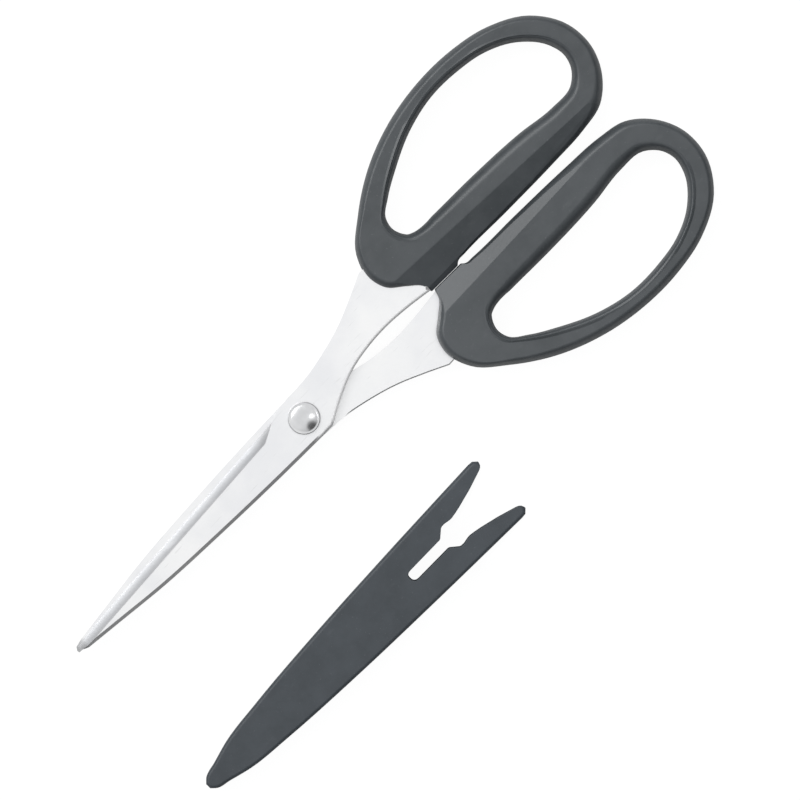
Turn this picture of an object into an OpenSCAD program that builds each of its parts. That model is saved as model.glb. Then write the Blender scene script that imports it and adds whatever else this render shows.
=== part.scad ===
// Craft scissors with two closed finger bows and a clip-on blade sheath.
// The frame's origin is on the pivot axis, on the table under the rivet.
// +X runs from the pivot towards the bows, +Z up; the blades point along -X.

/* [Blades] */
// Pivot to the point of the upper blade
upper_reach = 66.7; // [60:0.1:72]
// Pivot to the point of the lower blade
lower_reach = 67.6; // [60:0.1:72]
// Thickness of the blade steel
blade_t = 1.8; // [1.2:0.1:2.4]
// Gap between the two blades' inner faces
blade_gap = 0.05; // [0.02:0.01:0.15]
// Width of the bevel that is ground along each cutting edge
bevel_w = 1.3; // [0.6:0.1:2]
// Steel left standing at the cutting edge
edge_t = 0.5; // [0.2:0.1:1]
// Distance from the pivot to the start of the bevel
plunge_x = 5; // [4.5:0.5:10]

/* [Pivot] */
// Radius of the rivet's shank
shank_r = 2; // [1.5:0.1:2.4]
// Radial running clearance of each blade on the shank
run_clear = 0.03; // [0.02:0.01:0.08]
// Radius of the rivet's head
head_r = 3.4; // [3:0.1:4]
// Height of the head's straight rim
rim_h = 0.45; // [0.3:0.05:0.8]
// Height of the head's dome above its rim
dome_h = 0.75; // [0.4:0.05:1.2]
// Radius of the peened tail
tail_r = 2.9; // [2.6:0.1:3.2]
// Height of the tail, from the table to the lower blade
tail_h = 2; // [1.5:0.1:2.5]
// Chamfer round the tail
tail_chamfer = 0.5; // [0.2:0.1:0.7]
// Play between the rivet and each blade's face
face_play = 0.03; // [0.02:0.01:0.08]

/* [Handles] */
// Size of the upper, thumb handle against the drawn outline
thumb_scale = 0.995; // [0.97:0.005:1]
// Size of the lower, finger handle against the drawn outline
finger_scale = 1.005; // [1:0.005:1.03]
// How far the thumb handle lies towards the pivot, and the finger handle away from it
bow_shift = 0.3; // [0:0.1:0.6]
// Turn of the closed handles about the pivot, in degrees
handle_lean = -1; // [-1.5:0.1:0]
// Gap between the closed handles' stop pads
pad_gap = 0.2; // [0.1:0.05:0.6]
// Rounding of the handles' edges
edge_r = 1.9; // [1:0.1:2.5]
// Width of the sloping facet along the gap between the bows
facet_w = 4.6; // [3:0.1:6]
// Height that the facet falls
facet_drop = 2.4; // [2:0.1:3]

/* [Sheath] */
// Length of the sheath
sheath_l = 87.4; // [84:0.1:92]
// Distance of the sheath's closed end behind the pivot
sheath_end_x = 68.7; // [60:0.1:75]
// Distance of the sheath's centre line from the pivot
sheath_y = 39.05; // [39:0.05:50]
// Height of the space for the closed blades
cavity_h = 4.4; // [4.2:0.1:5]
// Thickness of the sheath's two faces
face_t = 0.9; // [0.7:0.1:1.4]
// Thickness of the sheath's side walls
side_t = 1.3; // [1:0.1:1.6]
// Length of the mouth whose sides are open for the tangs
mouth_l = 13; // [10:0.5:16]

/* [Hidden] */
$fn = 64;

bore_r = shank_r + run_clear;
lower_z = tail_h + face_play;
upper_z = lower_z + blade_t + blade_gap;
blades_top = upper_z + blade_t;
handle_t = lower_z + blades_top;
sheath_h = cavity_h + 2 * face_t;
steps = 4; // points that each spline span is cut into
over = 1; // how far a cutter passes the face that it cuts

// Outline of one half in the upper blade's sense, cutting edge and bow on the +Y side.
spine_knots = [[-65.2, -1.2], [-57, -2.15], [-45, -3.5], [-30, -4.4], [-12, -5.1], [0, -5.35]];
edge_knots = [[-2.4, 5.05], [-5, 4.2], [-30, 2.86], [-60, 1.25]];
inner_tang = [[3.2, -5.2], [8.3, -2.43], [14.3, 0.05], [20, 1.15], [25.3, 1.5], [31, 1.2], [37, 0.45]];
buried_tang = [[40, 2.2], [58, 3], [60, 4.6], [58, 6.2], [46, 7.6], [40.5, 9.5], [36.5, 12.4], [33, 13.2]];
outer_tang = [[29.3, 13.4], [24.3, 11.05], [18.3, 8.55], [12.3, 6.85], [6.3, 5.7], [0, 5.35]];

// A handle's outline, each point of the outer edge with the point of the finger hole across from it.
bow = [
    [[38, -0.4], [43.2, 11.7]],
    [[44.9, -0.3], [47, 11.1]],
    [[46.2, 0.7], [48.6, 11.2]],
    [[48.2, 0.85], [50.3, 11.2]],
    [[60, 0.9], [60, 11.2]],
    [[75, 1.2], [74, 10.6]],
    [[84, 1.7], [82.5, 9.6]],
    [[90.1, 3], [88.4, 10.1]],
    [[94.9, 7.2], [91.3, 12.8]],
    [[97.5, 13], [92.2, 15.8]],
    [[97.2, 19.6], [91.4, 19.3]],
    [[92.7, 26.7], [87.1, 24.5]],
    [[84.7, 31.2], [80.6, 27.8]],
    [[76, 33], [74.5, 28.9]],
    [[66, 33.1], [66.2, 29]],
    [[56.1, 31.4], [58.1, 27.1]],
    [[46, 27.5], [50.1, 23.4]],
    [[37.8, 22.1], [45, 20.4]],
    [[31.9, 16.6], [41.7, 17.7]],
    [[30.2, 11], [41.1, 15]],
    [[31.3, 7.2], [41.5, 13.6]],
    [[34.5, 4.4], [42, 12.7]],
    [[37, 2.1], [42.6, 12]],
];
bow_front = 30; // the handles grow and shrink about this distance from the pivot
round_share = 1 - sqrt(0.5); // where a rounding's middle point lies, as a share of its radius

// Half widths of the sheath and of its slot, against the distance from its closed end.
sheath_knots = [[0.05, 0.6], [1.2, 1.65], [4, 2.35], [9, 3.7], [19, 4.85], [39, 6.1], [59, 7], [85.6, 7.8]];
arm_tip = [[86.8, 7.75], [87.4, 7.1], [87.3, 6.3]];
slot_knots = [
    [60.3, 0.7], [60.9, 1.2], [70.2, 1.25], [72.3, 2.85], [73.2, 2.95], [75, 2.65],
    [76.5, 2.85], [78, 3.15], [82, 4.15], [86.5, 5.6],
];
cavity_start = 4;

// --- Curves ---

function tangent(p, q, r) =
    let (a = norm(q - p), b = norm(r - q))
    ((q - p) * b / a + (r - q) * a / b) / (a + b);

// A point of the span from p to q, with unit-speed tangents s and e at its ends.
function on_span(p, q, s, e, t) =
    let (l = norm(q - p), u = t * t, w = u * t)
    p * (2 * w - 3 * u + 1) + q * (3 * u - 2 * w) + s * l * (w - 2 * u + t) + e * l * (w - u);

function closed_curve(k) =
    let (n = len(k), m = [for (i = [0:n - 1]) tangent(k[(i + n - 1) % n], k[i], k[(i + 1) % n])])
    [for (i = [0:n - 1], j = [0:steps - 1]) on_span(k[i], k[(i + 1) % n], m[i], m[(i + 1) % n], j / steps)];

function end_tangent(p, q) = (q - p) / norm(q - p);

function open_curve(k) =
    let (
        n = len(k),
        m = [for (i = [0:n - 1])
            i == 0 ? end_tangent(k[0], k[1])
            : i == n - 1 ? end_tangent(k[n - 2], k[n - 1])
            : tangent(k[i - 1], k[i], k[i + 1])]
    )
    [for (i = [0:n - 2], j = [0:steps - 1]) on_span(k[i], k[i + 1], m[i], m[i + 1], j / steps), k[n - 1]];

function mirrored(pts) = [for (i = [len(pts) - 1:-1:0]) [pts[i].x, -pts[i].y]];

// side is 1 for the upper half and -1 for the lower one.
function to_side(pts, side) = [for (p = pts) [p.x, side * p.y]];

function turned(pts, angle) =
    [for (p = pts) [p.x * cos(angle) - p.y * sin(angle), p.x * sin(angle) + p.y * cos(angle)]];

// --- Blades ---

function blade_part(reach) =
    concat([[-reach + 0.1, 0.5], [-reach, 0], [-reach + 0.5, -0.75]], open_curve(spine_knots));

function tang_part() = concat(open_curve(inner_tang), buried_tang, open_curve(outer_tang));

module half_outline(side, reach) {
    polygon(concat(
        to_side(blade_part(reach), side),
        turned(to_side(tang_part(), side), handle_lean),
        to_side(edge_knots, side)
    ));
}

// The wedge that grinds the bevel, laid along the cutting edge from the plunge to past the point.
module bevel_cutter() {
    run = edge_knots[1] - edge_knots[3];
    slope = atan2(blade_t - edge_t, bevel_w);
    far = 40;
    translate([-plunge_x, edge_knots[1].y, edge_t])
        rotate([0, 0, 180 + atan2(run.y, run.x)])
            rotate([slope, 0, 0])
                translate([0, -far / 2, 0])
                    cube([far * 2, far, far / 4]);
}

// One blade lying with its inner face on z = 0.
module half_steel(side, reach) {
    difference() {
        linear_extrude(blade_t) half_outline(side, reach);
        mirror([0, side < 0 ? 1 : 0, 0]) bevel_cutter();
        translate([0, 0, -over]) cylinder(r = bore_r, h = blade_t + 2 * over);
    }
}

module upper_blade() {
    color("gainsboro") translate([0, 0, upper_z]) half_steel(1, upper_reach);
}

module lower_blade() {
    color("lightgray") translate([0, 0, lower_z + blade_t]) mirror([0, 0, 1]) half_steel(-1, lower_reach);
}

// --- Handles ---

function grown(pts, size, shift) =
    [for (p = pts) [bow_front + shift + (p.x - bow_front) * size, p.y * size]];

// The closed handles meet on flat pads: the outline is cut off at the edge of the gap between them.
function stopped(pts) = [for (p = pts) [p.x, max(p.y, pad_gap / 2)]];

// 1 beside the gap between the bows, falling to 0 round their ends.
function beside_gap(p) = max(0, min(1, (5.5 - p.y) / 4));

// One cross-section, from the outer point o to the hole's point h, as 3D points. Each row of
// half is a side (0 outer, 1 hole), a distance in from it and a depth under the face; the
// underside repeats it.
function section(o, h) =
    let (
        f = beside_gap(o),
        in = edge_r + (facet_w - edge_r) * f,
        drop = edge_r + (facet_drop - edge_r) * f,
        k = round_share + (0.5 - round_share) * f,
        half = [
            [0, 0, drop], [0, k * in, k * drop], [0, in, 0],
            [1, edge_r, 0], [1, round_share * edge_r, round_share * edge_r], [1, 0, edge_r]
        ],
        inward = (h - o) / norm(h - o),
        flat = [for (q = half) q[0] == 0 ? o + inward * q[1] : h - inward * q[1]],
        last = len(half) - 1
    )
    concat(
        [for (i = [0:last]) [flat[i].x, flat[i].y, handle_t - half[i][2]]],
        [for (i = [last:-1:0]) [flat[i].x, flat[i].y, half[i][2]]]
    );

module bow_solid(size, shift) {
    outer = stopped(grown(closed_curve([for (b = bow) b[0]]), size, shift));
    hole = grown(closed_curve([for (b = bow) b[1]]), size, shift);
    n = len(outer);
    rings = [for (i = [0:n - 1]) section(outer[i], hole[i])];
    m = len(rings[0]);
    polyhedron(
        points = [for (r = rings) each r],
        faces = [for (i = [0:n - 1], j = [0:m - 1])
            let (here = i * m, next = (i + 1) % n * m, up = (j + 1) % m)
            each [[here + j, here + up, next + up], [here + j, next + up, next + j]]],
        convexity = 6
    );
}

module moulded_handle(side, size, z) {
    difference() {
        rotate([0, 0, handle_lean]) mirror([0, side < 0 ? 1 : 0, 0]) bow_solid(size, -side * bow_shift);
        translate([0, 0, z]) linear_extrude(blade_t) half_outline(side, upper_reach);
    }
}

module upper_handle() {
    color("slategray") moulded_handle(1, thumb_scale, upper_z);
}

module lower_handle() {
    color("darkslategray") moulded_handle(-1, finger_scale, lower_z);
}

// --- Pivot ---

module pivot_rivet() {
    dome_r = (head_r * head_r + dome_h * dome_h) / (2 * dome_h);
    half_angle = asin(head_r / dome_r);
    head_z = blades_top + face_play;
    dome = [for (i = [0:12]) let (a = half_angle * (1 - i / 12))
        [dome_r * sin(a), head_z + rim_h + dome_h - dome_r * (1 - cos(a))]];
    color("silver") rotate_extrude()
        polygon(concat(
            [[0, 0], [tail_r - tail_chamfer, 0], [tail_r, tail_chamfer], [tail_r, tail_h]],
            [[shank_r, tail_h], [shank_r, head_z], [head_r, head_z]],
            dome
        ));
}

// --- Sheath ---

module sheath_outline() {
    edge = concat(open_curve(sheath_knots), arm_tip);
    polygon(concat(edge, mirrored(edge)));
}

module slot_outline() {
    last = slot_knots[len(slot_knots) - 1];
    edge = concat(slot_knots, [[sheath_l + over, 2 * last.y]]);
    polygon(concat(edge, mirrored(edge)));
}

// The space for the blades; over the last stretch it breaks out through the sides.
module cavity_outline() {
    mouth_x = sheath_l - mouth_l;
    edge = [for (p = open_curve(sheath_knots)) if (p.x > cavity_start && p.x < mouth_x) [p.x, p.y - side_t]];
    last = edge[len(edge) - 1];
    wide = last.y + 2 * side_t + over;
    side = concat(edge, [[mouth_x, last.y], [mouth_x, wide], [sheath_l + over, wide]]);
    polygon(concat(side, mirrored(side)));
}

module blade_sheath() {
    color("dimgray") translate([-sheath_end_x, -sheath_y, 0])
        difference() {
            linear_extrude(sheath_h) sheath_outline();
            translate([0, 0, face_t]) linear_extrude(cavity_h) cavity_outline();
            translate([0, 0, -over]) linear_extrude(sheath_h + 2 * over) slot_outline();
        }
}

upper_blade();
lower_blade();
upper_handle();
lower_handle();
pivot_rivet();
blade_sheath();
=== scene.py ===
import math

import bmesh
import bpy
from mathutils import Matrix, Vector


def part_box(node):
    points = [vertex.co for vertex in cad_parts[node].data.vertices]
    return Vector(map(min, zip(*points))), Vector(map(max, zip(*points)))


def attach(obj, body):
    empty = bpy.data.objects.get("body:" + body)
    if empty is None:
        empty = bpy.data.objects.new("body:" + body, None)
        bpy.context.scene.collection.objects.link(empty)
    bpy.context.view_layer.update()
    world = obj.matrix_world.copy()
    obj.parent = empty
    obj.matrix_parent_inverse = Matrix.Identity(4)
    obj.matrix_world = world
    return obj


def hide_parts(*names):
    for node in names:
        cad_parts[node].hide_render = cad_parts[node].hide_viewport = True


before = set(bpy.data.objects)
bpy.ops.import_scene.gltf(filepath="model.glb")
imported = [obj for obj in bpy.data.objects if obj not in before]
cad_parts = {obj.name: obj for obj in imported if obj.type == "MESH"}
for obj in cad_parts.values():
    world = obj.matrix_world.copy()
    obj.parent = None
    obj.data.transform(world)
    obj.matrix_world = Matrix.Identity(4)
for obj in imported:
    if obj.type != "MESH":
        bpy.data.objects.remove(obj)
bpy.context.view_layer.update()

# Scissors with two moulded finger bows and a clip-on sheath for the blades.
# +X runs from the pivot to the bows, +Z up; outlines are in millimetres, pieces in metres.
MM = 0.001

# --- Sizes, from the frame ---

upper_low, upper_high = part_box("upper_blade")
lower_low, lower_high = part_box("lower_blade")
handle_low, handle_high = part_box("upper_handle")
rivet_low, rivet_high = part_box("pivot_rivet")
sheath_low, sheath_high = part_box("blade_sheath")

UPPER_REACH = -upper_low.x / MM
LOWER_REACH = -lower_low.x / MM
STEEL = (upper_high.z - upper_low.z) / MM
HANDLE_H = (handle_high.z - handle_low.z) / MM
SHEATH_L = (sheath_high.x - sheath_low.x) / MM
SHEATH_H = (sheath_high.z - sheath_low.z) / MM
SHEATH_END = sheath_low.x / MM
SHEATH_Y = (sheath_low.y + sheath_high.y) / 2 / MM
HEAD_R = (rivet_high.x - rivet_low.x) / 2 / MM
HEAD_TOP = rivet_high.z / MM

# --- Outlines ---

# One half in the upper blade's sense: cutting edge and bow on the +Y side. The tang runs in
# under its handle at the root.
SPINE = [(-65.2, -1.2), (-57, -2.15), (-45, -3.5), (-30, -4.4), (-12, -5.1), (0, -5.35)]
CUTTING_EDGE = [(-2.4, 5.05), (-5, 4.2), (-30, 2.86), (-60, 1.25)]
INNER_TANG = [(3.2, -5.2), (8.3, -2.43), (14.3, 0.05), (20, 1.15), (25.3, 1.5), (31, 1.2)]
BURIED_TANG = [(58, 3.2), (60, 4.6), (58, 6.2), (46, 7.6), (40.5, 9.5), (36.5, 12.4), (33, 13.2)]
UPPER_ROOT = [(37.35, 0.4), (37.4, 1.9)]
LOWER_ROOT = [(38.7, 0.3), (40, 2.2)]
OUTER_TANG = [(29.3, 13.4), (24.3, 11.05), (18.3, 8.55), (12.3, 6.85), (6.3, 5.7), (0, 5.35)]

# The bow: each point of the outer side and the point of the finger hole across from it, the
# widths of the rounding on the outer side and along the hole, and how much of the lip stands
# up along the hole.
BOW = [
    ((38, -0.4), (43.2, 11.7), 1.6, 1.5, 0.4), ((44.9, -0.3), (47, 11.1), 1.8, 2.0, 0),
    ((46.2, 0.7), (48.6, 11.2), 2.6, 2.2, 0), ((48.2, 0.85), (50.3, 11.2), 3.4, 2.4, 0),
    ((60, 0.9), (60, 11.2), 4.2, 2.7, 0), ((75, 1.2), (74, 10.6), 4.2, 2.8, 0),
    ((84, 1.7), (82.5, 9.6), 3.4, 2.6, 0), ((90.1, 3), (88.4, 10.1), 2.6, 2.0, 0),
    ((94.9, 7.2), (91.3, 12.8), 2.0, 1.5, 0.2), ((97.5, 13), (92.2, 15.8), 1.75, 1.2, 0.4),
    ((97.2, 19.6), (91.4, 19.3), 1.75, 1.1, 0.8), ((92.7, 26.7), (87.1, 24.5), 1.75, 1.1, 1),
    ((84.7, 31.2), (80.6, 27.8), 1.75, 1.1, 1), ((76, 33), (74.5, 28.9), 1.75, 1.1, 0.5),
    ((66, 33.1), (66.2, 29), 1.75, 1.1, 0.3), ((56.1, 31.4), (58.1, 27.1), 1.75, 1.1, 0.8),
    ((46, 27.5), (50.1, 23.4), 1.75, 1.1, 1), ((37.8, 22.1), (45, 20.4), 1.75, 1.1, 1),
    ((31.9, 16.6), (41.7, 17.7), 1.75, 1.1, 0.9), ((30.2, 11), (41.1, 15), 1.75, 1.1, 0.8),
    ((31.3, 7.2), (41.5, 13.6), 1.75, 1.1, 0.8), ((34.5, 4.4), (42, 12.7), 1.7, 1.2, 0.7),
    ((37, 2.1), (42.6, 12), 1.6, 1.3, 0.5),
]
BOW_FRONT = 30       # the bows grow and shrink about this distance from the pivot
BOW_SHIFT = 0.3      # how far the thumb bow lies towards the pivot, and the finger bow away
PAD_GAP = 0.08       # between the two handles' pads, which stop the blades when closed
LEAN = math.radians(-1)      # the handles and tangs lean this far off the blades' line

# Half widths of the sheath and of its slot, against the distance from its closed end.
SHEATH_EDGE = [
    (0.05, 0.6), (1.2, 1.65), (4, 2.4), (9, 3.72), (19, 4.85), (39, 6.2), (59, 7.02), (85.4, 7.8),
]
ARM_TIP = [(86.5, 7.7), (87.4, 6.85)]
SLOT_EDGE = [
    (60.2, 0.3), (60.3, 0.65), (60.55, 0.95), (60.9, 1.15), (61.5, 1.22), (70.1, 1.25),
    (70.5, 1.4), (72.1, 2.75), (72.5, 2.9), (73.2, 2.92), (74.5, 2.68), (75.2, 2.65), (76.5, 2.85),
    (78, 3.15), (82, 4.15), (86.2, 5.45), (86.8, 5.75), (87.15, 6.1), (87.35, 6.6), (88.5, 9.5),
]

STEPS = 6            # points in each span of a curve


def tangent(before, here, after):
    """The unit-speed direction of the curve at a knot."""
    a, b = (here - before).length, (after - here).length
    return ((here - before) * b / a + (after - here) * a / b) / (a + b)


def on_span(start, end, leave, arrive, t):
    length = (end - start).length
    u, w = t * t, t * t * t
    return (start * (2 * w - 3 * u + 1) + end * (3 * u - 2 * w)
            + leave * length * (w - 2 * u + t) + arrive * length * (w - u))


def curve(knots, closed=False):
    """A smooth run of points through the knots."""
    k = [Vector(p) for p in knots]
    n = len(k)
    if closed:
        ways = [tangent(k[i - 1], k[i], k[(i + 1) % n]) for i in range(n)]
    else:
        ways = ([(k[1] - k[0]).normalized()]
                + [tangent(k[i - 1], k[i], k[i + 1]) for i in range(1, n - 1)]
                + [(k[-1] - k[-2]).normalized()])
    spans = n if closed else n - 1
    points = [on_span(k[i], k[(i + 1) % n], ways[i], ways[(i + 1) % n], j / STEPS)
              for i in range(spans) for j in range(STEPS)]
    return points if closed else points + [k[-1]]


def across(points):
    """The same edge on the other side of the centre line, drawn back the other way."""
    return [(x, -y) for x, y in reversed(points)]


# --- Bench work: picking and pulling points ---

LEVEL = 0.01         # points this near in height, in mm, count as level


def to_bench(name):
    """Names the new object and opens it for shaping."""
    bpy.context.object.name = bpy.context.object.data.name = name
    bpy.ops.object.mode_set(mode="EDIT")
    return bpy.context.object


def off_bench():
    bpy.ops.object.mode_set(mode="OBJECT")
    return bpy.context.object


def clear_hands():
    """Nothing is selected, so that an operator acts only on what comes next."""
    if bpy.context.object and bpy.context.object.mode != "OBJECT":
        bpy.ops.object.mode_set(mode="OBJECT")
    bpy.ops.object.select_all(action="DESELECT")


def pick(test, kind="verts"):
    """Selects the points or the level edges that pass the test; the test sees a place in mm."""
    mesh = bpy.context.object.data
    bpy.ops.mesh.select_mode(type={"verts": "VERT", "edges": "EDGE"}[kind])
    bpy.ops.mesh.select_all(action="DESELECT")
    shape = bmesh.from_edit_mesh(mesh)
    for part in getattr(shape, kind):
        if kind == "verts":
            place = part.co / MM
        else:
            one, other = (v.co / MM for v in part.verts)
            if abs(one.z - other.z) > LEVEL:
                continue
            place = (one + other) / 2
        if test(place):
            part.select_set(True)
    shape.select_flush_mode()
    bmesh.update_edit_mesh(mesh)


def hold(piece):
    clear_hands()
    bpy.context.view_layer.objects.active = piece
    piece.select_set(True)


def reopen(piece):
    """Puts a finished piece back on the bench."""
    hold(piece)
    bpy.ops.object.mode_set(mode="EDIT")


def pick_all():
    bpy.ops.mesh.select_mode(type="VERT")
    bpy.ops.mesh.select_all(action="SELECT")


def pull(x=0, y=0, z=0):
    bpy.ops.transform.translate(value=(x * MM, y * MM, z * MM))


def squeeze(share, centre, heading):
    """Makes what is picked narrower or wider about the centre, in one level direction."""
    turn(-heading, centre)
    bpy.ops.transform.resize(value=(share, 1, 1), center_override=Vector(centre) * MM)
    turn(heading, centre)


def turn(angle, centre, axis="Z"):
    """Without a window the operator turns clockwise, so the angle is negated."""
    bpy.ops.transform.rotate(value=-angle, orient_axis=axis, center_override=Vector(centre) * MM)


def trace(name, points, closed=True):
    """One point is set down and pulled out along the outline, then the outline is closed."""
    clear_hands()
    first = Vector(points[0])
    bpy.ops.mesh.primitive_plane_add(size=MM, location=first * MM)
    bpy.ops.object.transform_apply()
    to_bench(name)
    pick_all()
    bpy.ops.mesh.merge(type="CENTER")
    pick_all()
    for here, there in zip(points, points[1:]):
        step = (Vector(there) - Vector(here)) * MM
        bpy.ops.mesh.extrude_vertices_move(TRANSFORM_OT_translate={"value": step})
    if closed:
        pick_all()
        bpy.ops.mesh.edge_face_add()


def raise_up(height):
    bpy.ops.mesh.extrude_region_move(TRANSFORM_OT_translate={"value": (0, 0, height * MM)})


def plate(name, outline, low, height):
    """A flat outline drawn at the height low and raised."""
    trace(name, [(p[0], p[1], low) for p in outline])
    raise_up(height)
    pick_all()
    bpy.ops.mesh.normals_make_consistent(inside=False)


def chamfer(offset, segments=1):
    bpy.ops.mesh.bevel(offset=offset * MM, offset_pct=0, segments=segments, affect="EDGES",
                       clamp_overlap=False)


def cut_flat(centre, normal):
    """Planes off all that lies past the plane, and closes the cut."""
    pick_all()
    bpy.ops.mesh.bisect(plane_co=Vector(centre) * MM, plane_no=normal, use_fill=True,
                        clear_outer=True, clear_inner=False, threshold=0.00001 * MM)


def close_up(gap=0.01):
    """Joins what meets and turns every face outwards."""
    pick_all()
    bpy.ops.mesh.remove_doubles(threshold=gap * MM)
    bpy.ops.mesh.normals_make_consistent(inside=False)


def apply_modifier(piece, kind, **settings):
    modifier = piece.modifiers.new(kind.title(), kind)
    for key, value in settings.items():
        setattr(modifier, key, value)
    hold(piece)
    bpy.ops.object.modifier_apply(modifier=modifier.name)


def drill(piece, tool):
    """Takes the tool's shape out of the piece, then puts the tool away."""
    apply_modifier(piece, "BOOLEAN", object=tool, operation="DIFFERENCE", solver="EXACT")
    bpy.data.objects.remove(tool)


def polish(piece, angle):
    """Smooth across the edges gentler than the angle, with the flats kept flat."""
    hold(piece)
    bpy.ops.object.shade_smooth_by_angle(angle=math.radians(angle))
    apply_modifier(piece, "WEIGHTED_NORMAL", keep_sharp=True, weight=60)


# --- Blades ---

GRIND_W = 1.9         # width of the hollow-ground bevel along the cutting edge
EDGE_SLOPE = 0.0536   # of the cutting edge, against X
GRIND_RUN = 4.5       # length over which the bevel comes to its full width
GRIND_START, GRIND_END = Vector(CUTTING_EDGE[1]), Vector(CUTTING_EDGE[3])
WHEEL_R = 14          # the grinding wheel
WHEEL_OUT = 7.13      # how far its axle lies outside the cutting edge, and above it
WHEEL_UP = 12.05
LAND = 0.45           # steel left standing at the cutting edge
BREAK_W = 0.7         # chamfer along the back and the tang's inner side
BACK_DROP = 0.37      # how far it falls along the back
TANG_DROP = 0.27      # and along the tang
BACK_END = 3          # where the back ends and the tang starts
GRIP_START = 38       # no chamfer from here on, inside the handle
FACE_BREAK = 0.25     # chamfer of the inner face along the tang's outer side
BORE_R = 2.03


def turned(points, angle):
    c, s = math.cos(angle), math.sin(angle)
    return [(x * c - y * s, x * s + y * c) for x, y in points]


def steel_outline(reach, root, lean):
    """From the tip along the back and the tang, round inside the handle and back by the edge."""
    tip = [(-reach + 0.1, 0.5), (-reach, 0), (-reach + 0.5, -0.75)]
    buried = [Vector(p) for p in root[1:] + BURIED_TANG]
    tang = curve(INNER_TANG + root[:1]) + buried + curve(OUTER_TANG)
    return tip + [tuple(p) for p in curve(SPINE)] + turned(tang, lean) + CUTTING_EDGE


def wheel():
    """The wheel that hollow-grinds the bevel, laid along the cutting edge; its end is cut askew
    so that the bevel starts in a point."""
    run = GRIND_END - GRIND_START
    clear_hands()
    bpy.ops.mesh.primitive_cylinder_add(vertices=360, radius=WHEEL_R * MM, depth=180 * MM,
                                        rotation=(0, math.pi / 2, 0))
    bpy.ops.object.transform_apply()
    to_bench("wheel")
    pick_all()
    pull(0, -WHEEL_OUT, LAND + WHEEL_UP)
    cut_flat((0, 0, 0), Vector((-GRIND_W, GRIND_RUN, 0)).normalized())
    pick_all()
    turn(math.atan2(run.y, run.x), (0, 0, 0))
    pull(GRIND_START.x, GRIND_START.y)
    return off_bench()


def blade(name, reach, root, lean, underside):
    """Drawn with its inner face on z = 0 and the ground face up, then put in its place; the
    blade underside is turned over first."""
    plate(name, steel_outline(reach, root, lean), 0, STEEL)
    pick(lambda p: p.z > STEEL - LEVEL and p.x < GRIP_START and p.y < max(-0.2, 0.15 * p.x), "edges")
    chamfer(BREAK_W)
    for drop, on_tang in ((BACK_DROP, False), (TANG_DROP, True)):
        pick(lambda p: abs(p.z - (STEEL - BREAK_W)) < 2 * LEVEL and (p.x >= BACK_END) == on_tang)
        pull(z=BREAK_W - drop)
    pick(lambda p: p.z < LEVEL and p.x > 6.5 and p.y > 2, "edges")
    chamfer(FACE_BREAK)
    close_up(0.002)
    piece = off_bench()
    drill(piece, wheel())
    clear_hands()
    bpy.ops.mesh.primitive_cylinder_add(vertices=64, radius=BORE_R * MM, depth=6 * STEEL * MM)
    drill(piece, off_bench())
    reopen(piece)
    pick_all()
    if underside:
        turn(math.pi, (0, 0, 0), "X")
        pull(z=lower_high.z / MM)
    else:
        pull(z=upper_low.z / MM)
    close_up(0.004)
    off_bench()
    polish(piece, 25)
    return piece


upper_steel = blade("upper_blade_steel", UPPER_REACH, UPPER_ROOT, LEAN, False)
lower_steel = blade("lower_blade_steel", LOWER_REACH, LOWER_ROOT, -LEAN, True)

# --- Handles ---

OUTER_W = 1.75        # the outer side's rounding, where it isn't softened
OUTER_H = 3.4
HOLE_H = 3.1          # height of the finger hole's rounding
ROUND_PARTS = 10      # faces in a quarter of a rounding
LIP = 0.22            # height of the lip along the finger hole
CREST = 1.12          # where it stands, against the width of the rounding
LIP_FOOT = 1.55       # and where it starts to rise from the flat
BODY_H = HANDLE_H - 2 * LIP       # between the two flats
LEFTOVER = 0.03       # degrees; edges gentler than this are leftovers of the cuts
FLAT_RUN = 37         # length of the long flat beside the gap
FLAT_MIDDLE = 66.5    # and the distance of its middle from the pivot


def round_side(width, height):
    """Half of a section, from the upper flat round the side to the lower flat: the distance in
    from the side and the height. The rounding turns by the same angle at each point."""
    slopes = [math.pi / 2 * i / ROUND_PARTS for i in range(ROUND_PARTS)]
    turns = [math.atan(width / height * math.tan(slope)) for slope in slopes] + [math.pi / 2]
    top = [(width * (1 - math.sin(t)), HANDLE_H - LIP - height * (1 - math.cos(t))) for t in turns]
    return top + [(d, HANDLE_H - z) for d, z in reversed(top)]


def lipped_side(width, height, lip):
    """The same, with the lip standing up from both flats beside the rounding."""
    side = round_side(width, height)[1:-1]
    top = HANDLE_H - LIP
    return ([(LIP_FOOT * width, top), (CREST * width, top + lip * LIP)] + side
            + [(CREST * width, LIP - lip * LIP), (LIP_FOOT * width, LIP)])


def spread(numbers):
    """The numbers given at the knots, at every point of the closed curve between them."""
    after = numbers[1:] + numbers[:1]
    return [a + (b - a) * j / STEPS for a, b in zip(numbers, after) for j in range(STEPS)]


def bow_sides(size, side):
    """The points of the outer side and of the finger hole, for a handle of this size."""
    front = BOW_FRONT - side * BOW_SHIFT

    def grown(points):
        return [Vector((front + (p.x - BOW_FRONT) * size, p.y * size)) for p in points]

    outer = grown(curve([knot[0] for knot in BOW], closed=True))
    hole = grown(curve([knot[1] for knot in BOW], closed=True))
    return ([Vector((p.x, side * max(p.y, PAD_GAP / 2), 0)) for p in outer],
            [Vector((p.x, side * p.y, 0)) for p in hole])


def pick_numbered(numbers):
    """Selects points by number, where two of them may share a place."""
    mesh = bpy.context.object.data
    bpy.ops.mesh.select_all(action="DESELECT")
    shape = bmesh.from_edit_mesh(mesh)
    shape.verts.ensure_lookup_table()
    for number in numbers:
        shape.verts[number].select = True
    shape.select_flush_mode()
    bmesh.update_edit_mesh(mesh)


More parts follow.
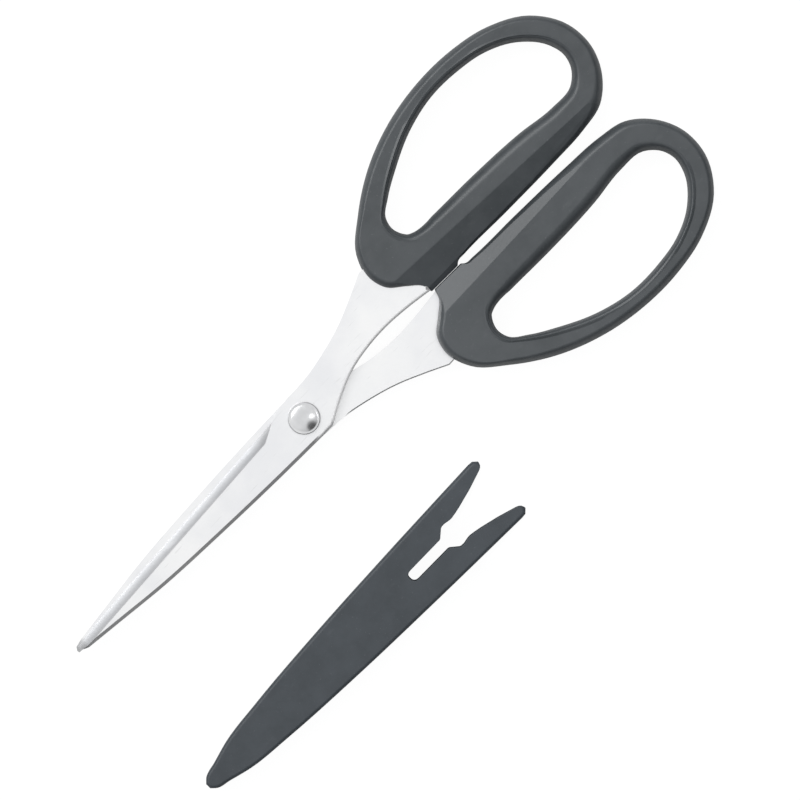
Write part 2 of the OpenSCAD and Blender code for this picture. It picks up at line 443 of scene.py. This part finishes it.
def bow_ring(name, size, side, softness):
    """The bar's section is drawn once and pulled round the bow from station to station; at each
    one its two rounded sides turn, widen and move to their own line."""
    outer, hole = bow_sides(size, side)
    brow, rounding, lip = (spread([knot[k] for knot in BOW]) for k in (2, 3, 4))
    brow = [OUTER_W + (width - OUTER_W) * softness for width in brow]
    inward = [(h - o).normalized() for o, h in zip(outer, hole)]
    heading = [math.atan2(way.y, way.x) for way in inward]
    up = Vector((0, 0, 1))
    hole_side = lipped_side(rounding[0], HOLE_H, lip[0])
    ring = ([outer[0] + inward[0] * d + up * z for d, z in round_side(brow[0], OUTER_H)]
            + [hole[0] - inward[0] * d + up * z for d, z in reversed(hole_side)])
    trace(name, ring, closed=False)
    pick(lambda p: (p - ring[0]).length < 0.001 or (p - ring[-1]).length < 0.001)
    bpy.ops.mesh.edge_face_add()
    pick_all()
    count = len(outer)
    for i in range(count):
        j = (i + 1) % count
        bpy.ops.mesh.extrude_region_move()
        split = ((hole[i] - outer[i]).length + brow[i] - LIP_FOOT * rounding[i]) / 2
        near, far, crests = [], [], {1: [], -1: []}
        for v in bmesh.from_edit_mesh(bpy.context.object.data).verts:
            if not v.select:
                continue
            place = v.co / MM
            (near if (place - outer[i]).dot(inward[i]) < split else far).append(v.index)
            depth = (hole[i] - place).dot(inward[i]) / rounding[i]
            if abs(depth - CREST) < 0.02:
                crests[1 if place.z > HANDLE_H / 2 else -1].append(v.index)
        for half, edge, width in ((near, outer, brow), (far, hole, rounding)):
            pick_numbered(half)
            turn(heading[j] - heading[i], edge[i])
            if width[j] != width[i]:
                squeeze(width[j] / width[i], edge[i], heading[j])
            pull(*(edge[j] - edge[i]))
        for flip, crest in crests.items():
            if lip[j] != lip[i]:
                pick_numbered(crest)
                pull(z=flip * (lip[j] - lip[i]) * LIP)
        pick_numbered(near + far)
    close_up()


def handle(name, size, side, softness, creases):
    """The ring of the bow, with the long flats beside the gap planed off last. Each crease is
    the flat's slope and its distance from the gap at the front and at the back."""
    bow_ring(name, size, side, softness)
    drop, slope, reached = 0, 0, 0
    for fall, near, far in creases:
        middle, fall = (near + far) / 2, math.radians(fall)
        drop += (reached - middle) * math.tan(slope)
        run = Vector((FLAT_RUN, side * (far - near), 0)).normalized()
        gapward = Vector((run.y, -run.x, 0)) * side
        for flip in (1, -1):
            start = (FLAT_MIDDLE, side * middle, (HANDLE_H + flip * (BODY_H - 2 * drop)) / 2)
            cut_flat(start, gapward * math.sin(fall) + Vector((0, 0, flip * math.cos(fall))))
        slope, reached = fall, middle
    pick_all()
    turn(LEAN, (0, 0, 0))
    close_up(0.02)
    pick_all()
    bpy.ops.mesh.dissolve_limited(angle_limit=math.radians(LEFTOVER))
    piece = off_bench()
    polish(piece, 18.5)
    return piece


upper_grip = handle("upper_handle_moulding", 0.995, 1, 1.0,
                    ((20, 6.3, 5.0), (27, 2.2, 2.1), (34, 1.75, 1.65), (41, 1.3, 1.2)))
lower_grip = handle("lower_handle_moulding", 1.005, -1, 0.25, ((20, 4.6, 3.0),))

# --- Pivot ---

TAIL_R = 2.9
TAIL_H = 2.0
SHANK_R = 2.0
CROWN_R = 9.0         # roundness of the head's dome
CROWN_PARTS = 10


def rivet(name):
    """The rivet's profile is drawn from the axis out and spun round it."""
    rim_low = upper_high.z / MM + 0.03
    profile = [(0, 0), (TAIL_R - 0.6, 0), (TAIL_R - 0.25, 0.12), (TAIL_R - 0.05, 0.35), (TAIL_R, 0.6),
               (TAIL_R, TAIL_H), (SHANK_R, TAIL_H), (SHANK_R, rim_low), (HEAD_R - 0.08, rim_low),
               (HEAD_R, rim_low + 0.08), (HEAD_R, rim_low + 0.38)]
    profile += [(HEAD_R - 0.05, rim_low + 0.56), (HEAD_R - 0.18, rim_low + 0.72)]
    crown_edge = HEAD_R - 0.42
    profile += [(r, HEAD_TOP - CROWN_R + math.sqrt(CROWN_R ** 2 - r ** 2))
                for r in [crown_edge * (1 - i / CROWN_PARTS) for i in range(CROWN_PARTS + 1)]]
    trace(name, [(x, 0, z) for x, z in profile], closed=False)
    pick_all()
    bpy.ops.mesh.spin(steps=96, angle=2 * math.pi, center=(0, 0, 0), axis=(0, 0, 1))
    close_up(0.004)
    piece = off_bench()
    polish(piece, 32)
    return piece


rivet_piece = rivet("pivot_rivet_steel")

# --- Sheath ---

SHEATH_ROUND = 0.8    # rounding along the outside
RIM_ROUND = 0.16      # and along the slot
CAVITY_H = 4.4
SIDE_WALL = 1.3
CAVITY_START = 4      # from the closed end
MOUTH = 13            # length of the mouth, open at the sides for the blades' shoulders


def sheath(name):
    """A solid blank, rounded along its edges, then hollowed for the blades and slotted."""
    edge = [tuple(p) for p in curve(SHEATH_EDGE)] + ARM_TIP
    plate(name, edge + across(edge), 0, SHEATH_H)
    pick(lambda p: p.z < LEVEL or p.z > SHEATH_H - LEVEL, "edges")
    chamfer(SHEATH_ROUND, 4)
    close_up(0.002)
    blank = off_bench()
    inner = [(x, y - SIDE_WALL) for x, y in edge if CAVITY_START < x < SHEATH_L - MOUTH]
    wide = inner[-1][1] + 4
    inner += [(SHEATH_L - MOUTH, inner[-1][1]), (SHEATH_L - MOUTH, wide), (SHEATH_L + 1, wide)]
    plate("cavity", inner + across(inner), (SHEATH_H - CAVITY_H) / 2, CAVITY_H)
    drill(blank, off_bench())
    plate("slot", SLOT_EDGE + across(SLOT_EDGE), -1, SHEATH_H + 2)
    drill(blank, off_bench())
    reopen(blank)
    half = SHEATH_H / 2
    pick(lambda p: 60 < p.x < 86 and abs(p.y) < 5.6 and abs(p.z - half) > half - LEVEL, "edges")
    chamfer(RIM_ROUND, 2)
    close_up(0.004)
    pull(SHEATH_END, SHEATH_Y)
    off_bench()
    polish(blank, 32)
    return blank


sheath_piece = sheath("sheath_moulding")

# --- Finishes ---


class Value:
    """A node's output that takes part in ordinary sums; each sum adds a Math node."""

    def __init__(self, finish, socket):
        self.finish, self.socket = finish, socket

    def math(self, operation, *terms):
        return self.finish.node("ShaderNodeMath", {"operation": operation}, dict(enumerate(terms)))

    def __add__(self, other): return self.math("ADD", self, other)
    def __radd__(self, other): return self.math("ADD", other, self)
    def __sub__(self, other): return self.math("SUBTRACT", self, other)
    def __rsub__(self, other): return self.math("SUBTRACT", other, self)
    def __mul__(self, other): return self.math("MULTIPLY", self, other)
    def __rmul__(self, other): return self.math("MULTIPLY", other, self)
    def __abs__(self): return self.math("ABSOLUTE", self)

    def between(self, low, high, start=0.0, end=1.0):
        """A smooth rise from start to end as the value goes from low to high."""
        return self.finish.node("ShaderNodeMapRange", {"interpolation_type": "SMOOTHSTEP"},
                                {"Value": self, "From Min": low, "From Max": high,
                                 "To Min": start, "To Max": end})


class Finish:
    """A material, built up node by node around one surface shader."""

    def __init__(self, name):
        self.material = bpy.data.materials.new(name)
        self.material.use_nodes = True
        self.tree = self.material.node_tree
        self.shader = self.tree.nodes["Principled BSDF"]
        self.place = self.node("ShaderNodeTexCoord", {}, {}, "Object")

    def node(self, kind, settings, inputs, output=0):
        """Adds a node: its settings first, then its sockets' values or links."""
        made = self.tree.nodes.new(kind)
        for key, setting in settings.items():
            setattr(made, key, setting)
        for socket, value in inputs.items():
            self.feed(made.inputs[socket], value)
        return Value(self, made.outputs[output])

    def feed(self, socket, value):
        if isinstance(value, Value):
            self.tree.links.new(value.socket, socket)
        else:
            socket.default_value = value

    def surface(self, **inputs):
        """Feeds the surface shader; an underscore stands for a space."""
        for name, value in inputs.items():
            self.feed(self.shader.inputs[name.replace("_", " ")], value)

    def stretched(self, x=1.0, y=1.0, z=1.0):
        return self.node("ShaderNodeMapping", {}, {"Vector": self.place, "Scale": (x, y, z)})

    def noise(self, scale, detail=3.0, rough=0.5, place=None):
        return self.node("ShaderNodeTexNoise", {}, {"Vector": place or self.place, "Scale": scale,
                                                    "Detail": detail, "Roughness": rough})

    def axis(self, name):
        return self.node("ShaderNodeSeparateXYZ", {}, {0: self.place}, name)

    def mix(self, share, low, high):
        """A colour between two others."""
        return self.node("ShaderNodeMix", {"data_type": "RGBA"}, {0: share, 6: low, 7: high}, 2)

    def bump(self, height, depth_mm, strength=1.0, under=None):
        inputs = {"Height": height, "Distance": depth_mm * MM, "Strength": strength}
        if under:
            inputs["Normal"] = under
        return self.node("ShaderNodeBump", {}, inputs)


def grey(level, tint=(1.0, 1.0, 1.0)):
    return (level * tint[0], level * tint[1], level * tint[2], 1.0)


def blade_steel():
    """Satin stainless steel: fine grinding lines, cloudy handling marks and a few hairlines,
    with a ground bevel along each cutting edge made darker by a duller finish and by painted shade, and
    a darker tip."""
    f = Finish("blade_steel")
    lines = f.noise(420, 6, 0.65, f.stretched(0.6, 9, 9))
    cross = f.noise(260, 5, 0.6, f.stretched(9, 0.5, 1))
    clouds = f.noise(70, 4, 0.55)
    scratch = f.noise(900, 2, 0.4, f.stretched(0.25, 3, 3)).between(0.66, 0.74)
    stain = f.noise(33, 5, 0.6).between(0.45, 0.75)
    tone = f.mix(clouds.between(0.3, 0.7), grey(0.79, (1.0, 1.0, 1.015)), grey(0.87, (1.0, 0.995, 0.99)))
    tone = f.mix(stain * 0.25, tone, grey(0.73, (0.97, 0.99, 1.03)))
    tone = f.mix(scratch * 0.25, tone, grey(0.55))
    x, y, side = f.axis("X"), f.axis("Y"), f.axis("Z") - (upper_low.z + lower_high.z) / 2
    inside = ((x - GRIND_START.x * MM) * EDGE_SLOPE + GRIND_START.y * MM
              - y * side.math("SIGN", side))
    ground = (inside.between(0.0015, 0.0021, 1.0, 0.0) * inside.between(-0.0001, 0.0, 0.0, 1.0)
              * (x + inside * (GRIND_RUN / GRIND_W)).between(-0.0054, -0.005, 1.0, 0.0))
    # The ground bevel is darkened partly for its duller finish and partly with painted shade. Towards
    # its start it is darker still.
    tone = f.mix(ground * (0.5 + lines * 0.3), tone, grey(0.6, (0.97, 0.99, 1.03)))
    tone = f.mix(ground * x.between(-0.013, -0.006) * 0.7, tone, grey(0.36))
    # Darker towards the tip.
    darker_tip = x.between(-0.0658, -0.0645, 1.0, 0.0) + x.between(-0.0672, -0.0666, 0.5, 0.0)
    tone = f.mix(darker_tip * 0.6, tone, grey(0.38))
    f.surface(Metallic=1.0, Base_Color=tone,
              Roughness=0.24 + lines * 0.12 + clouds * 0.08 + scratch * 0.1,
              Normal=f.bump((lines * 0.7 + cross * 0.3) * (1.0 - ground * 0.8), 0.004, 0.5))
    return f.material


RING_RATE = 26000     # radians of the turning marks' wave in a metre


def rivet_steel():
    """Turned and polished: faint rings about the axis."""
    f = Finish("rivet_steel")
    x, y = f.axis("X"), f.axis("Y")
    squares = x * x + y * y
    turns = squares.math("SQRT", squares) * RING_RATE
    rings = turns.math("SINE", turns)
    uneven = f.noise(500, 3)
    tone = f.mix(f.noise(260, 4).between(0.35, 0.7), grey(0.6, (1.0, 1.0, 1.01)), grey(0.72))
    f.surface(Metallic=1.0, Base_Color=tone, Roughness=0.13 + uneven * 0.12,
              Normal=f.bump(rings * 0.35 + uneven, 0.0015, 0.5))
    return f.material


def moulded_plastic(name, low, high, rough, seam_z, grain_depth):
    """Slate-grey moulded plastic: fine sparkle of the mould's grain, mottled tone, dull
    handling patches, pale lint specks and the mould's parting line along the sides."""
    f = Finish(name)
    grain = f.noise(5200, 3, 0.6)
    mottle = f.noise(210, 5, 0.6)
    drift = f.noise(42, 3, 0.5)
    specks = f.noise(2600, 1, 0.3).between(0.73, 0.78)
    scuff = f.noise(330, 4, 0.6, f.stretched(0.6, 1.2, 1)).between(0.6, 0.8)
    tone = f.mix(mottle.between(0.3, 0.7), low, high)
    tone = f.mix(drift.between(0.4, 0.75) * 0.35, tone, [c * 1.3 for c in high[:3]] + [1.0])
    tone = f.mix(scuff * 0.06 + specks * 0.12, tone, grey(0.3, (0.95, 0.98, 1.02)))
    seam = abs(f.axis("Z") - seam_z * MM).between(0.00004, 0.00012, 1.0, 0.0)
    skin = f.bump(grain, grain_depth, 0.6)
    f.surface(Base_Color=tone, Roughness=rough + mottle * 0.1 + scuff * 0.08 + grain * 0.05,
              Specular_IOR_Level=0.5, Normal=f.bump(seam, 0.04, 0.8, skin))
    return f.material


steel = blade_steel()
polished = rivet_steel()
handle_grey = moulded_plastic("handle_plastic", grey(0.056, (0.88, 1.0, 1.09)),
                              grey(0.071, (0.9, 1.0, 1.08)), 0.3, HANDLE_H / 2, 0.005)
sheath_grey = moulded_plastic("sheath_plastic", grey(0.044, (0.82, 1.0, 1.18)),
                              grey(0.056, (0.84, 1.0, 1.17)), 0.42, SHEATH_H / 2, 0.008)

# --- What each piece stands for ---

for piece, material, slot, body, node in (
    (upper_steel, steel, "blade_steel", "upper_half", "upper_blade"),
    (lower_steel, steel, "blade_steel", "lower_half", "lower_blade"),
    (upper_grip, handle_grey, "handle_plastic", "upper_half", "upper_handle"),
    (lower_grip, handle_grey, "handle_plastic", "lower_half", "lower_handle"),
    (rivet_piece, polished, "rivet_steel", "pivot", "pivot_rivet"),
    (sheath_piece, sheath_grey, "sheath_plastic", "sheath", "blade_sheath"),
):
    piece.data.materials.clear()
    piece.data.materials.append(material)
    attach(piece, body)
    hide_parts(node)

# --- Floor, light and camera ---

clear_hands()
bpy.ops.mesh.primitive_plane_add(size=6, location=(0, 0, 0))
floor = bpy.context.object
floor.name = "floor"
# The paint is lit like any other, but the camera sees it mostly glowing white.
floor_paint = Finish("floor_paint")
floor_paint.surface(Base_Color=floor_paint.mix(floor_paint.noise(3, 2), grey(0.62), grey(0.66)),
                    Roughness=0.9)
glow = floor_paint.node("ShaderNodeEmission", {}, {"Color": grey(1.0), "Strength": 1.12})
seen = floor_paint.node("ShaderNodeLightPath", {}, {}, "Is Camera Ray")
painted = Value(floor_paint, floor_paint.shader.outputs[0])
floor_paint.feed(floor_paint.tree.nodes["Material Output"].inputs["Surface"],
                 floor_paint.node("ShaderNodeMixShader", {}, {0: seen * 0.85, 1: painted, 2: glow}))
floor.data.materials.append(floor_paint.material)


def softbox(name, place, aim, width, depth, power):
    light = bpy.data.lights.new(name, "AREA")
    light.shape, light.size, light.size_y, light.energy = "RECTANGLE", width, depth, power
    lamp = bpy.data.objects.new(name, light)
    bpy.context.scene.collection.objects.link(lamp)
    lamp.location = place
    lamp.rotation_euler = (Vector(aim) - Vector(place)).to_track_quat("-Z", "Y").to_euler()


softbox("key_softbox", (-0.05, 0.78, 0.82), (0.02, 0, 0), 1.2, 0.4, 6.5)
softbox("glint_lamp", (0.36, -0.2, 1.1), (0, 0, 0.007), 0.1, 0.22, 0.25)


def studio_sky():
    """A pale tent over the table, bright overhead and on the +Y side, dim low down on the -Y side."""
    world = bpy.data.worlds.new("studio_sky")
    bpy.context.scene.world = world
    world.use_nodes = True
    tree = world.node_tree
    back = tree.nodes["Background"]

    def add(kind, settings, inputs, output=0):
        made = tree.nodes.new(kind)
        for key, setting in settings.items():
            setattr(made, key, setting)
        for socket, value in inputs.items():
            if isinstance(value, bpy.types.NodeSocket):
                tree.links.new(value, made.inputs[socket])
            else:
                made.inputs[socket].default_value = value
        return made.outputs[output]

    way = add("ShaderNodeTexCoord", {}, {}, "Generated")
    split = {name: add("ShaderNodeSeparateXYZ", {}, {0: way}, name) for name in "XYZ"}
    lean_y = add("ShaderNodeMath", {"operation": "MULTIPLY"}, {0: split["Y"], 1: 0.3})
    bright = add("ShaderNodeMath", {"operation": "ADD"}, {0: split["Z"], 1: lean_y})
    level = add("ShaderNodeMapRange", {"interpolation_type": "SMOOTHSTEP"},
                {"Value": bright, "From Min": 0.15, "From Max": 0.95, "To Min": 0.08, "To Max": 1.04})
    toward = add("ShaderNodeVectorMath", {"operation": "DOT_PRODUCT"},
                 {0: way, 1: Vector((0.0, -0.5, 0.87))}, "Value")
    flag = add("ShaderNodeMapRange", {"interpolation_type": "SMOOTHSTEP"},
               {"Value": toward, "From Min": 0.965, "From Max": 0.985, "To Min": 1.0, "To Max": 0.1})
    dimmed = add("ShaderNodeMath", {"operation": "MULTIPLY"}, {0: level, 1: flag})
    seen = add("ShaderNodeLightPath", {}, {}, "Is Camera Ray")
    shown = add("ShaderNodeMix", {"data_type": "FLOAT"}, {0: seen, 2: dimmed, 3: 0.95})
    tree.links.new(shown, back.inputs["Strength"])
    back.inputs["Color"].default_value = (0.98, 0.99, 1.0, 1.0)


studio_sky()
bpy.context.scene.view_settings.view_transform = "Standard"

SPAN = 166.1          # width of the view, in mm
LENS, SENSOR = 200, 36
camera = bpy.data.objects.new("camera", bpy.data.cameras.new("camera"))
bpy.context.scene.collection.objects.link(camera)
camera.data.lens, camera.data.sensor_width = LENS, SENSOR
camera.data.clip_start = 0.05
camera.location = (16.6 * MM, -11.62 * MM, (5 + SPAN * LENS / SENSOR) * MM)
camera.rotation_euler = (0, 0, math.radians(-45.75))
bpy.context.scene.camera = camera
